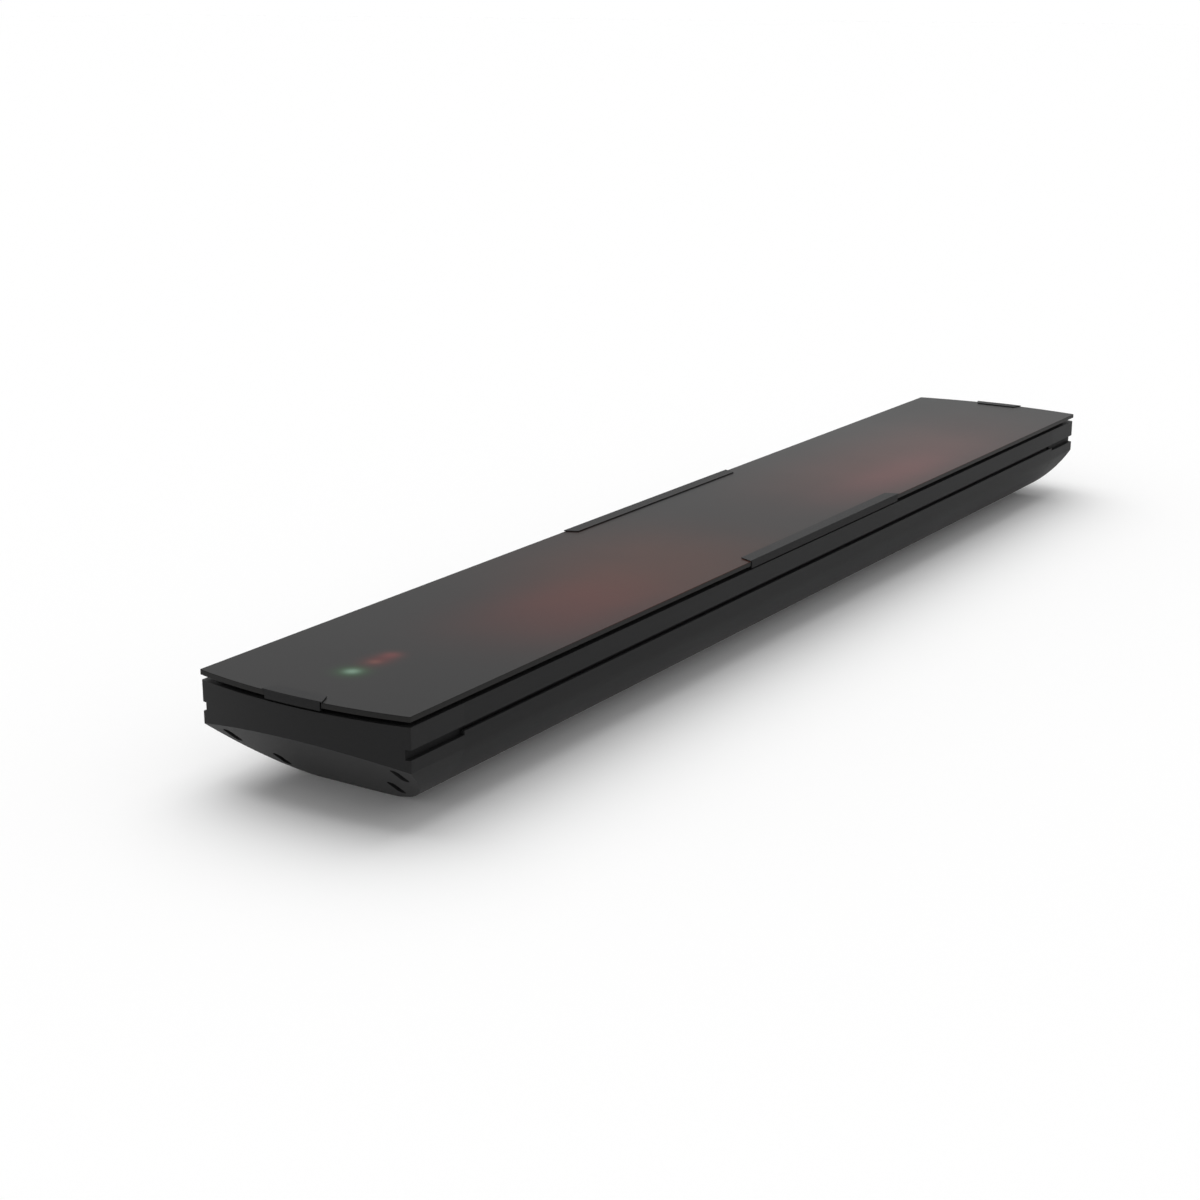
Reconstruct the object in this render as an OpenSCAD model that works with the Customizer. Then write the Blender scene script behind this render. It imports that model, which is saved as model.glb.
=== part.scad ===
// Infrared patio heater with a dark glass front.
// The body stands on the flat of its back: X runs along the length, Y across, Z up to the glass.
// The origin is at the middle of the flat of the back.

/* [Overall size] */
// Length of the glass along its straight long edges
length = 1186; // [1000:1:1500]
// Width of the glass across the body
width = 183; // [176:1:210]
// Height from the flat of the back to the top face of the glass
height = 84; // [80:1:96]
// How far each end curves out past the corners of the glass
end_bulge = 10; // [4:0.5:16]

/* [Glass] */
// Thickness of the glass
glass_t = 4; // [3:0.5:6]
// Radius of the corners of the glass
glass_corner_r = 1; // [1:0.5:8]
// Height of the shadow gap between the body and the glass
glass_gap = 3.7; // [3:0.1:6]
// How far the glass stands out past the body
glass_overhang = 0.6; // [0.5:0.1:4]
// Width of the sealing strip under the glass
gasket_w = 6; // [4:0.5:8]
// Gap between the sealing strip and the clips
gasket_gap = 0.5; // [0.3:0.1:1]

/* [Glass clips] */
// Length of each clip on the long sides
side_clip_l = 280; // [120:1:400]
// Length of each clip on the curved ends
end_clip_l = 50; // [36:1:80]
// Depth of the notch in the glass that a clip fills
notch_depth = 10; // [9:0.5:12]
// How much longer a notch is at the edge of the glass than at its bottom, on each side
notch_slant = 5; // [0:0.5:8]
// Gap between a clip and the sides of its notch
clip_gap = 0.8; // [0.4:0.1:1.2]
// How far the lip of a clip reaches over the glass past its notch
clip_lip = 1.2; // [0.6:0.1:2]
// Thickness of the lip
clip_lip_t = 0.8; // [0.6:0.1:1.5]
// Gap between the lip and the glass
clip_lip_gap = 0.2; // [0.1:0.1:0.4]
// How far the clip stands out past the edge of the glass
clip_proud = 0.6; // [0:0.1:1.5]
// How far the outer face of the clip reaches down below the glass
clip_drop = 1.8; // [0:0.1:2.4]
// How far the foot of the clip is set in from the edge of the glass
clip_foot_in = 5; // [4:0.5:6]

/* [Back] */
// Radius of the curved flanks of the back
back_r = 68; // [62:1:90]
// Width of the flat that runs along the back
back_flat = 54; // [50:1:64]
// Highest place at which the curved flanks meet the upright sides, on a body wider than the curve
side_h = 45; // [42:0.1:48]
// Wall thickness of the extruded housing
wall = 2.4; // [2:0.1:3]
// Width of the rim that carries the glass
rim_w = 15; // [15:0.5:18]
// Thickness of the rim
rim_t = 2.4; // [2:0.1:3]

/* [Side groove] */
// Height of the mouth of the mounting groove
groove_h = 3.9; // [3:0.1:3.9]
// Distance from the top face of the glass to the middle of the groove
groove_drop = 25.6; // [24:0.1:30]
// Height of the chamber behind the mouth
chamber_h = 6.8; // [6:0.1:10]
// Depth of the chamber
chamber_d = 3.2; // [2.5:0.1:3.8]
// Wall around the chamber
chamber_wall = 1.6; // [1.2:0.1:2.5]
// Height of the recess in the end caps that leads into the groove
recess_h = 7; // [5:0.1:9]
// How far the middle of that recess lies below the middle of the groove
recess_drop = 1.4; // [0:0.1:2]
// Depth of that recess
recess_d = 3.9; // [2:0.1:3.9]
// Width of the inner ledge that the element trays hang on
ledge_w = 13; // [12:0.5:16]

/* [End caps] */
// Length of an end cap, from the corner of the glass to the seam
cap_l = 59; // [56:1:80]
// Length of the flat foot of a cap before its underside slopes up
cap_foot = 6.5; // [4:0.5:12]
// Height at which the sloping underside reaches the line of the glass corners
cap_nose_h = 44.8; // [38:0.2:46]
// Wall thickness of an end cap
cap_wall = 3; // [2.5:0.1:4]
// Radius of the upright corners of an end cap
cap_corner_r = 1.2; // [1:0.1:12]
// Reach of the fixing tongues of a cap inside the housing
tongue_l = 22; // [18:1:30]
// Thickness of the tongues
tongue_t = 3; // [2.5:0.1:4]
// Length of each vent slot
slot_l = 20; // [12:0.5:24]
// Width of each vent slot
slot_w = 7; // [3:0.5:8]

/* [Heating elements] */
// Distance from the middle of the heater to the near end of each tray
tray_start = 72; // [70:1:90]
// Length of each tray
tray_l = 420; // [300:1:425]
// Width of each tray
tray_w = 124; // [110:1:136]
// Depth of each tray below its flanges
tray_depth = 25.4; // [22:0.2:28]
// Thickness of the tray sheet
tray_t = 0.8; // [0.6:0.1:1.2]
// Thickness of the insulation board
board_t = 20; // [16:0.5:22]
// Depth of the recess in the board that holds the ribbon
board_recess = 4; // [3:0.5:6]
// Number of straight runs of the heating ribbon, an even number
ribbon_runs = 8; // [4:2:8]
// Distance between two runs
ribbon_pitch = 12; // [10:0.5:14]
// Width of the ribbon
ribbon_w = 5; // [3:0.5:6]
// Thickness of the ribbon
ribbon_t = 1.2; // [0.8:0.1:2]

/* [Inlet] */
// Diameter of the cable hole in the gland
inlet_bore = 8.5; // [6:0.1:10]
// Diameter of the threaded body of the gland
gland_d = 16; // [15:0.5:18]
// Distance of the gland from the line of the glass corners
gland_set = 17; // [16:0.5:20]

/* [Indicators] */
// Diameter of an indicator lens
lamp_d = 5; // [3:0.5:6]
// Distance of the green lamp from the line of the left glass corners
lamp_green = 53; // [48:1:58]
// Distance of the first red lamp from that line
lamp_red_1 = 78; // [70:1:84]
// Distance of the second red lamp from that line
lamp_red_2 = 97; // [90:1:102]

/* [Hidden] */

eps = 0.01;
half_l = length / 2;
half_w = width / 2;
body_hw = half_w - glass_overhang;
rim_z = height - glass_t - glass_gap;
glass_z = height - glass_t;
seam_x = half_l - cap_l;
bow_r = (pow(half_w, 2) + pow(end_bulge, 2)) / (2 * end_bulge);
bow_cx = half_l + end_bulge - bow_r;
groove_z = height - groove_drop;
chamber_y = body_hw - wall - chamber_d - chamber_wall;
chamber_top = groove_z + chamber_h / 2 + chamber_wall;
ledge_y = chamber_top - rim_t;
ledge_in = body_hw - wall - ledge_w;
slope_tan = cap_nose_h / (cap_l - cap_foot);
slope_a = atan(slope_tan);
foot_x = seam_x + cap_foot;
flank_dy = body_hw - back_flat / 2;
flank_l = norm([flank_dy, back_r - side_h]);
flank_a = flank_l > back_r ? atan2(flank_dy, back_r - side_h) - acos(back_r / flank_l) : 90;

// Screw sizes: shank, head diameter, head height
screw_s = 2.2;
screw_s_head = 4.4;
screw_m = 3.6;
screw_m_head = 7;
screw_m_head_t = 2.2;
screw_c = 2.9;
screw_c_head = 5.6;
screw_fit = 0.2;
screw_clear = 0.6;
screw_set = 7.6;
clip_screw_in = 5;

module rod(a, b, d) {
    v = b - a;
    l = norm(v);
    translate(a) rotate([0, acos(v[2] / l), atan2(v[1], v[0])]) cylinder(h = l, d = d, $fn = 32);
}

// A wire through a list of points, with a round bend at each inner point
module wire(points, d) {
    for (i = [0 : len(points) - 2]) rod(points[i], points[i + 1], d);
    for (i = [1 : len(points) - 2]) translate(points[i]) sphere(d = d + 0.1, $fn = 32);
}

module mirrored_y() {
    children();
    mirror([0, 1, 0]) children();
}

module mirrored_x() {
    children();
    mirror([1, 0, 0]) children();
}

// Points along an arc round [x, y], from angle a0 to angle a1 in n steps
function arc(x, y, r, a0, a1, n) =
    [for (i = [0 : n]) [x + r * cos(a0 + (a1 - a0) * i / n), y + r * sin(a0 + (a1 - a0) * i / n)]];

// Points round the right end, drawn in by inset, with corners of radius r
function end_points(inset, r) =
    let (
        cy = half_w - inset - r,
        big = bow_r - inset,
        a = asin(cy / (big - r)),
        cx = bow_cx + (big - r) * cos(a)
    )
    concat(arc(cx, -cy, r, -90, -a, 9), arc(bow_cx, 0, big, -a, a, 32), arc(cx, cy, r, a, 90, 9));

// Plan of the right end from x0 outwards
module end_outline(inset, r, x0) {
    h = half_w - inset;
    polygon(concat([[x0, -h]], end_points(inset, r), [[x0, h]]));
}

// Plan of the whole heater
module full_outline(inset, r) {
    points = end_points(inset, r);
    polygon(concat(points, -points));
}

// Curved underside in Y and Z, drawn in by off and wider than the body above.
// On a wide body the flank leaves the curve and runs straight to the foot of the upright side.
module back_shape(off) {
    r = back_r - off;
    for (s = [-1, 1]) translate([s * back_flat / 2, back_r]) circle(r, $fn = 180);
    translate([-back_flat / 2, off]) square([back_flat, 2 * r]);
    translate([-width, back_r]) square([2 * width, height]);
    if (flank_a < 90) for (s = [0, 1]) mirror([s, 0]) translate([back_flat / 2, back_r]) polygon([
        [0, 0], [r * sin(flank_a), -r * cos(flank_a)],
        [r * sin(flank_a) + width * cos(flank_a), width * sin(flank_a) - r * cos(flank_a)], [0, width]
    ]);
}

// Cross-section of the back in Y and Z, drawn in by off, up to the height top
module back_outline(off, top) {
    intersection() {
        translate([off - body_hw, off]) square([2 * (body_hw - off), top - off]);
        back_shape(off);
    }
}

// Turns a drawing in Y and Z into a bar that starts at x0
module bar(x0, l) {
    translate([x0, 0, 0]) rotate([90, 0, 90]) linear_extrude(l) children();
}

// Side view of a cap in X and Z above its sloping underside, which is raised by lift
module cap_profile(lift) {
    reach = end_bulge + 6;
    start = seam_x - 2 * cap_l;
    low = -height / 2;
    polygon([
        [start, low], [foot_x + (low - lift) / slope_tan, low],
        [half_l + reach, cap_nose_h + reach * slope_tan + lift],
        [half_l + reach, 2 * height], [start, 2 * height]
    ]);
}

// Outline of the notch for a long clip, grown by g
module side_notch(g, outer) {
    a = side_clip_l / 2 + g;
    b = side_clip_l / 2 - notch_slant + g;
    y0 = half_w - notch_depth - g;
    polygon([[-b, y0], [b, y0], [a, half_w], [a, outer], [-a, outer], [-a, half_w]]);
}

// Outline of the notch for an end clip, grown by g
module end_notch(g, outer) {
    a = end_clip_l / 2 + g;
    b = end_clip_l / 2 - notch_slant + g;
    x0 = half_l + end_bulge - notch_depth - g;
    x1 = half_l + end_bulge;
    polygon([[x0, -b], [x1, -a], [outer, -a], [outer, a], [x1, a], [x0, b]]);
}

// Places of the screws of the long clips, on the near side
side_screw_x = [-0.4 * side_clip_l, 0, 0.4 * side_clip_l];
end_screw_y = [-end_clip_l / 2 + 11, end_clip_l / 2 - 11];
side_screw_y = half_w - screw_set;
end_screw_x = half_l + end_bulge - screw_set;

module at_side_screws() {
    mirrored_y() for (x = side_screw_x) translate([x, side_screw_y, 0]) children();
}

module at_end_screws() {
    mirrored_x() for (y = end_screw_y) translate([end_screw_x, y, 0]) children();
}

module glass_front() {
    color([0.13, 0.12, 0.12]) translate([0, 0, glass_z]) linear_extrude(glass_t) difference() {
        full_outline(0, glass_corner_r);
        side_notch(0, width);
        mirror([0, 1]) side_notch(0, width);
        end_notch(0, length);
        mirror([1, 0]) end_notch(0, length);
    }
}

gasket_out = notch_depth + gasket_gap;
module glass_gasket() {
    color([0.05, 0.05, 0.05]) translate([0, 0, rim_z]) linear_extrude(glass_gap) difference() {
        full_outline(gasket_out, glass_corner_r);
        full_outline(gasket_out + gasket_w, glass_corner_r);
    }
}

// A long clip on the near side: its body stands on the rim in the notch and its lip holds the glass
module side_clip() {
    outer = half_w + clip_proud;
    lip_z = height + clip_lip_gap;
    difference() {
        union() {
            translate([0, 0, rim_z]) linear_extrude(height - rim_z) intersection() {
                side_notch(-clip_gap, outer);
                translate([-length, 0]) square([2 * length, half_w - clip_foot_in]);
            }
            translate([0, 0, glass_z - clip_drop]) linear_extrude(lip_z + clip_lip_t - glass_z + clip_drop)
                side_notch(-clip_gap, outer);
            translate([0, 0, lip_z]) linear_extrude(clip_lip_t) side_notch(clip_lip, outer);
        }
        for (x = side_screw_x) translate([x, side_screw_y, rim_z - eps])
            cylinder(h = clip_screw_in + eps, d = screw_s + screw_fit, $fn = 32);
    }
}

module end_clip() {
    lip_z = height + clip_lip_gap;
    difference() {
        union() {
            translate([0, 0, rim_z]) linear_extrude(height - rim_z) intersection() {
                end_outline(clip_foot_in, glass_corner_r, seam_x);
                end_notch(-clip_gap, length);
            }
            translate([0, 0, glass_z - clip_drop]) linear_extrude(lip_z + clip_lip_t - glass_z + clip_drop)
                intersection() {
                    end_outline(-clip_proud, glass_corner_r, seam_x);
                    end_notch(-clip_gap, length);
                }
            translate([0, 0, lip_z]) linear_extrude(clip_lip_t) intersection() {
                end_outline(-clip_proud, glass_corner_r, seam_x);
                end_notch(clip_lip, length);
            }
        }
        for (y = end_screw_y) translate([end_screw_x, y, rim_z - eps])
            cylinder(h = clip_screw_in + eps, d = screw_s + screw_fit, $fn = 32);
    }
}

module side_clip_near() {
    color([0.17, 0.17, 0.17]) mirror([0, 1, 0]) side_clip();
}

module side_clip_far() {
    color([0.17, 0.17, 0.17]) side_clip();
}

module end_clip_left() {
    color([0.17, 0.17, 0.17]) mirror([1, 0, 0]) end_clip();
}

module end_clip_right() {
    color([0.17, 0.17, 0.17]) end_clip();
}

// A pan head screw whose head rests on z = 0 from above, with a hexagon socket
module pan_screw(d, head, head_t, reach) {
    difference() {
        union() {
            cylinder(h = head_t, d = head, $fn = 36);
            translate([0, 0, -reach]) cylinder(h = reach + eps, d = d, $fn = 32);
        }
        translate([0, 0, head_t - 0.6 * head_t]) cylinder(h = head_t, d = 0.5 * head, $fn = 6);
    }
}

// A countersunk screw whose head is flush with z = 0 and that points down
module flat_screw(d, head, reach) {
    t = (head - d) / 2;
    difference() {
        union() {
            translate([0, 0, -t]) cylinder(h = t, d1 = d, d2 = head, $fn = 36);
            translate([0, 0, -reach]) cylinder(h = reach - t + eps, d = d, $fn = 32);
        }
        translate([0, 0, -0.7 * t]) cylinder(h = t, d = 0.45 * head, $fn = 6);
    }
}

// The hole for a countersunk screw, wider by fit
module flat_hole(d, head, reach, fit) {
    t = (head - d) / 2;
    translate([0, 0, -t]) cylinder(h = t + eps, d1 = d + fit, d2 = head + fit + 2 * eps, $fn = 36);
    translate([0, 0, -reach]) cylinder(h = reach, d = d + fit, $fn = 32);
}

module clip_screws() {
    color([0.6, 0.6, 0.6]) {
        at_side_screws() translate([0, 0, rim_z - rim_t]) mirror([0, 0, 1])
            pan_screw(screw_s, screw_s_head, 1.8, rim_t + clip_screw_in - 1);
        at_end_screws() translate([0, 0, rim_z - rim_t]) mirror([0, 0, 1])
            pan_screw(screw_s, screw_s_head, 1.8, rim_t + clip_screw_in - 1);
    }
}

// Fixings of an end cap: two countersunk screws in the rim and two in the flat of the back
cap_screw_x = seam_x - tongue_l / 2;
rim_screw_y = half_w - gasket_out - gasket_w / 2 + 0.5;
foot_screw_y = back_flat / 2 - 6;
foot_tongue_w = 10;
tray_screw_y = ledge_in + 5;
tray_screw_x = [tray_start + 30, tray_start + tray_l - 30];
bridge_gap = 12;
bridge_w = 2 * (tray_start - bridge_gap);
bridge_screw_x = bridge_w / 2 - 10;
bridge_t = 3;

module at_rim_screws() {
    mirrored_y() translate([cap_screw_x, rim_screw_y, rim_z]) children();
}

module at_foot_screws() {
    mirrored_y() translate([cap_screw_x, foot_screw_y, 0]) mirror([0, 0, 1]) children();
}

module housing_section() {
    difference() {
        union() {
            difference() {
                back_outline(0, rim_z);
                back_outline(wall, height);
            }
            for (s = [0, 1]) mirror([s, 0]) {
                translate([body_hw - rim_w, rim_z - rim_t]) square([rim_w - wall / 2, rim_t]);
                translate([chamber_y, groove_z - chamber_h / 2 - chamber_wall])
                    square([body_hw - wall / 2 - chamber_y, chamber_h + 2 * chamber_wall]);
                translate([ledge_in, ledge_y]) square([body_hw - wall / 2 - ledge_in, rim_t]);
            }
        }
        for (s = [0, 1]) mirror([s, 0]) {
            translate([body_hw - wall - eps, groove_z - groove_h / 2]) square([wall + 1, groove_h]);
            translate([body_hw - wall - chamber_d, groove_z - chamber_h / 2]) square([chamber_d, chamber_h]);
        }
    }
}

module housing() {
    color([0.16, 0.16, 0.16]) difference() {
        bar(-seam_x, 2 * seam_x) housing_section();
        at_side_screws() translate([0, 0, rim_z - rim_t - 1])
            cylinder(h = rim_t + 2, d = screw_s + screw_clear, $fn = 32);
        mirrored_x() {
            at_rim_screws() flat_hole(screw_c, screw_c_head, rim_t + 1, screw_fit);
            at_foot_screws() flat_hole(screw_m, screw_m_head, wall + 1, screw_fit);
            mirrored_y() for (x = tray_screw_x) translate([x, tray_screw_y, ledge_y - 1])
                cylinder(h = rim_t + 2, d = screw_m + screw_fit, $fn = 32);
            mirrored_y() translate([bridge_screw_x, tray_screw_y, ledge_y - 1])
                cylinder(h = rim_t + 2, d = screw_m + screw_fit, $fn = 32);
        }
    }
}

module cap_outer() {
    intersection() {
        translate([0, 0, -1]) linear_extrude(rim_z + 1) end_outline(glass_overhang, cap_corner_r, seam_x);
        bar(seam_x - cap_l, 3 * cap_l) back_shape(0);
        translate([0, width, 0]) rotate([90, 0, 0]) linear_extrude(2 * width) cap_profile(0);
    }
}

module cap_inner() {
    inset = glass_overhang + cap_wall;
    intersection() {
        linear_extrude(rim_z - rim_t) end_outline(inset, max(cap_corner_r - cap_wall, 1), seam_x - 1);
        bar(seam_x - cap_l, 3 * cap_l) back_shape(cap_wall);
        translate([0, width, 0]) rotate([90, 0, 0]) linear_extrude(2 * width)
            cap_profile(cap_wall / cos(slope_a));
    }
}

// A place on the sloping underside, at distance d in from the corner line, with Z square to the slope
module on_slope(d, y) {
    translate([half_l - d, y, cap_nose_h - d * slope_tan]) rotate([0, -slope_a, 0]) children();
}

// Vent slots on one side: distance from the corner line and from the middle
slot_places = [[10.2, body_hw - 17.5], [34.6, body_hw - 40.1]];

module slot() {
    translate([-(slot_l - slot_w) / 2, -slot_w / 2, -2 * cap_wall]) cube([slot_l - slot_w, slot_w, 4 * cap_wall]);
    for (s = [-1, 1]) translate([s * (slot_l - slot_w) / 2, 0, -2 * cap_wall])
        cylinder(h = 4 * cap_wall, d = slot_w, $fn = 36);
}

module end_cap(inlet) {
    back_block = recess_d + 1.4;
    recess_z = groove_z - recess_drop - recess_h / 2;
    difference() {
        union() {
            difference() {
                cap_outer();
                cap_inner();
                translate([0, 0, rim_z - rim_t - 1]) linear_extrude(rim_t + 2)
                    end_outline(glass_overhang + rim_w, glass_corner_r, seam_x - 1);
            }
            mirrored_y() intersection() {
                cap_outer();
                translate([seam_x - 1, body_hw - back_block, recess_z - 2])
                    cube([cap_l + end_bulge, back_block + 1, recess_h + 4]);
            }
            mirrored_y() translate([seam_x - tongue_l, body_hw - rim_w, rim_z - rim_t - tongue_t])
                cube([tongue_l + 14, rim_w - wall - 0.3, tongue_t]);
            mirrored_y() translate([seam_x, body_hw - rim_w, rim_z - rim_t - tongue_t])
                cube([14, rim_w - 1, tongue_t + 1]);
            mirrored_y() translate([seam_x - tongue_l, foot_screw_y - foot_tongue_w / 2, wall])
                cube([tongue_l + cap_foot, foot_tongue_w, tongue_t]);
        }
        mirrored_y() translate([seam_x - 1, body_hw - recess_d, recess_z])
            cube([cap_l + end_bulge + 2, recess_d + 1, recess_h]);
        for (p = slot_places) mirrored_y() on_slope(p[0], p[1]) slot();
        mirrored_y() translate([cap_screw_x, rim_screw_y, rim_z - rim_t - tongue_t - 1])
            cylinder(h = tongue_t + 2, d = screw_c + screw_fit, $fn = 32);
        mirrored_y() translate([cap_screw_x, foot_screw_y, wall - 1])
            cylinder(h = tongue_t + 2, d = screw_m + screw_fit, $fn = 32);
        for (y = end_screw_y) translate([end_screw_x, y, rim_z - rim_t - 1])
            cylinder(h = rim_t + 2, d = screw_s + screw_clear, $fn = 32);
        if (inlet) on_slope(gland_set, 0) translate([0, 0, -1])
            cylinder(h = 2 * cap_wall, d = gland_d + 0.4, $fn = 64);
    }
}

module end_cap_left() {
    color([0.14, 0.14, 0.14]) mirror([1, 0, 0]) end_cap(false);
}

module end_cap_right() {
    color([0.14, 0.14, 0.14]) end_cap(true);
}

module cap_screws() {
    at_rim_screws() flat_screw(screw_c, screw_c_head, rim_t + tongue_t + 0.5);
    at_foot_screws() flat_screw(screw_m, screw_m_head, wall + tongue_t + 0.5);
}

module cap_screws_left() {
    color([0.55, 0.55, 0.55]) mirror([1, 0, 0]) cap_screws();
}

module cap_screws_right() {
    color([0.55, 0.55, 0.55]) cap_screws();
}

// Element tray on the right: an open sheet box that hangs by two long flanges on the ledges
tray_z = chamber_top - tray_depth;
flange_out = body_hw - wall - 1.5;
module element_tray() {
    difference() {
        union() {
            translate([tray_start, -tray_w / 2, tray_z]) cube([tray_l, tray_w, tray_depth]);
            translate([tray_start, -flange_out, chamber_top]) cube([tray_l, 2 * flange_out, tray_t]);
        }
        translate([tray_start + tray_t, -tray_w / 2 + tray_t, tray_z + tray_t])
            cube([tray_l - 2 * tray_t, tray_w - 2 * tray_t, height]);
        mirrored_y() for (x = tray_screw_x) translate([x, tray_screw_y, chamber_top - 1])
            cylinder(h = tray_t + 2, d = screw_m + screw_clear, $fn = 32);
    }
}

module element_tray_left() {
    color([0.75, 0.75, 0.76]) mirror([1, 0, 0]) element_tray();
}

module element_tray_right() {
    color([0.75, 0.75, 0.76]) element_tray();
}

// Sizes of a terminal and its room in the recess of the board
terminal_l = 16;
terminal_w = 14;
terminal_h = 9;
terminal_gap = 2.2;

// Insulation board with a recess that holds the ribbon and the terminals
board_fit = 0.5;
board_edge = 10;
board_x = tray_start + tray_t + board_fit;
board_l = tray_l - 2 * (tray_t + board_fit);
board_w = tray_w - 2 * (tray_t + board_fit);
board_z = tray_z + tray_t;
ribbon_z = board_z + board_t - board_recess;
ribbon_y0 = -(ribbon_runs - 1) * ribbon_pitch / 2;
recess_hw = terminal_w / 2 + terminal_gap - ribbon_y0;
module insulation() {
    difference() {
        translate([board_x, -board_w / 2, board_z]) cube([board_l, board_w, board_t]);
        translate([board_x + board_edge, -recess_hw, ribbon_z])
            cube([board_l - 2 * board_edge, 2 * recess_hw, board_t]);
    }
}

module insulation_left() {
    color([0.9, 0.88, 0.82]) mirror([1, 0, 0]) insulation();
}

module insulation_right() {
    color([0.9, 0.88, 0.82]) insulation();
}

// Heating ribbon: straight runs joined by half rings, with both ends at the terminals
ribbon_x0 = board_x + board_edge + terminal_l + 1;
turn_r = ribbon_pitch / 2;
ribbon_x1 = board_x + board_l - board_edge - turn_r - ribbon_w / 2 - 2;
ribbon_xt = ribbon_x0 + turn_r + ribbon_w / 2 + 2;

module half_ring() {
    difference() {
        circle(turn_r + ribbon_w / 2, $fn = 64);
        circle(turn_r - ribbon_w / 2, $fn = 64);
        translate([-2 * ribbon_pitch, -2 * ribbon_pitch]) square([2 * ribbon_pitch, 4 * ribbon_pitch]);
    }
}

module heating_element() {
    translate([0, 0, ribbon_z]) linear_extrude(ribbon_t) union() {
        for (i = [0 : ribbon_runs - 1]) {
            last = i == 0 || i == ribbon_runs - 1;
            x0 = last ? ribbon_x0 : ribbon_xt;
            translate([x0, ribbon_y0 + i * ribbon_pitch - ribbon_w / 2]) square([ribbon_x1 - x0, ribbon_w]);
        }
        for (i = [0 : 2 : ribbon_runs - 2])
            translate([ribbon_x1, ribbon_y0 + (i + 0.5) * ribbon_pitch]) half_ring();
        if (ribbon_runs > 2) for (i = [1 : 2 : ribbon_runs - 3])
            translate([ribbon_xt, ribbon_y0 + (i + 0.5) * ribbon_pitch]) mirror([1, 0]) half_ring();
    }
}

module heating_element_left() {
    color([0.8, 0.25, 0.1]) mirror([1, 0, 0]) heating_element();
}

module heating_element_right() {
    color([0.8, 0.25, 0.1]) heating_element();
}

// Ceramic terminals at the ends of the ribbon, each with a threaded stud
stud_d = 4;
stud_h = 5;
stud_x = ribbon_x0 - terminal_l / 2 + 1;
module terminals() {
    mirrored_y() difference() {
        translate([ribbon_x0 - terminal_l, -ribbon_y0 - terminal_w / 2, ribbon_z])
            cube([terminal_l, terminal_w, terminal_h]);
        translate([stud_x, -ribbon_y0, ribbon_z + terminal_h - stud_h])
            cylinder(h = stud_h + 1, d = stud_d + screw_fit, $fn = 32);
    }
}

module terminals_left() {
    color([0.93, 0.92, 0.88]) mirror([1, 0, 0]) terminals();
}

module terminals_right() {
    color([0.93, 0.92, 0.88]) terminals();
}

stud_top = ribbon_z + terminal_h + 4;
module terminal_studs() {
    color([0.78, 0.62, 0.3]) mirrored_x() mirrored_y() translate([stud_x, -ribbon_y0, 0]) {
        translate([0, 0, ribbon_z + terminal_h - stud_h]) cylinder(h = stud_top - ribbon_z - terminal_h + stud_h,
            d = stud_d, $fn = 32);
        translate([0, 0, ribbon_z + terminal_h]) cylinder(h = 2.4, d = 7.5, $fn = 6);
    }
}

module tray_screws() {
    color([0.6, 0.6, 0.6]) mirrored_x() mirrored_y() for (x = tray_screw_x)
        translate([x, tray_screw_y, chamber_top + tray_t])
            pan_screw(screw_m, screw_m_head, screw_m_head_t, tray_t + rim_t + 1);
}

// Safety cut-out under each tray: a round switch with two blades
cutout_x = tray_start + 60;
cutout_y = 30;
cutout_d = 16;
cutout_h = 7;
module thermal_cutout() {
    translate([cutout_x, cutout_y, tray_z - cutout_h]) {
        cylinder(h = cutout_h, d = cutout_d, $fn = 48);
        translate([-12, -4, cutout_h - 1]) cube([24, 8, 1]);
    }
}

module thermal_cutout_left() {
    color([0.2, 0.2, 0.22]) mirror([1, 0, 0]) thermal_cutout();
}

module thermal_cutout_right() {
    color([0.2, 0.2, 0.22]) thermal_cutout();
}

// Heat shield between a tray and the back: a hat-shaped sheet on two rows of feet
shield_t = 1;
shield_z = tray_z - cutout_h - 4;
shield_x = tray_start + 12;
shield_l = tray_l - 4;
shield_w = tray_w - 12;
shield_leg = back_flat / 2 - 2;
shield_foot = 8;
leg_l = seam_x - tongue_l - 12 - shield_x;
module heat_shield() {
    translate([shield_x, -shield_w / 2, shield_z]) cube([shield_l, shield_w, shield_t]);
    mirrored_y() {
        translate([shield_x, shield_leg - shield_t, wall]) cube([leg_l, shield_t, shield_z - wall + eps]);
        translate([shield_x, shield_leg - shield_foot, wall]) cube([leg_l, shield_foot, shield_t]);
        translate([shield_x, shield_w / 2 - shield_t, shield_z + eps]) cube([shield_l, shield_t, 6]);
    }
}

module heat_shield_left() {
    color([0.72, 0.73, 0.74]) mirror([1, 0, 0]) heat_shield();
}

module heat_shield_right() {
    color([0.72, 0.73, 0.74]) heat_shield();
}

// Bridge across the middle that stiffens the body and carries the pad under the glass
module centre_bridge() {
    color([0.7, 0.7, 0.71]) difference() {
        translate([-bridge_w / 2, -flange_out, chamber_top]) cube([bridge_w, 2 * flange_out, bridge_t]);
        mirrored_x() mirrored_y() translate([bridge_screw_x, tray_screw_y, chamber_top - 1])
            cylinder(h = bridge_t + 2, d = screw_m + screw_clear, $fn = 32);
        mirrored_y() translate([0, pad_w / 2 + 9, chamber_top - 1])
            cylinder(h = bridge_t + 2, d = 12, $fn = 48);
    }
}

pad_l = 80;
pad_w = 100;
module glass_pad() {
    color([0.85, 0.84, 0.8]) translate([-pad_l / 2, -pad_w / 2, chamber_top + bridge_t])
        cube([pad_l, pad_w, glass_z - chamber_top - bridge_t]);
}

module bridge_screws() {
    color([0.6, 0.6, 0.6]) mirrored_x() mirrored_y()
        translate([bridge_screw_x, tray_screw_y, chamber_top + bridge_t])
            pan_screw(screw_m, screw_m_head, screw_m_head_t, bridge_t + rim_t + 1);
}

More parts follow.
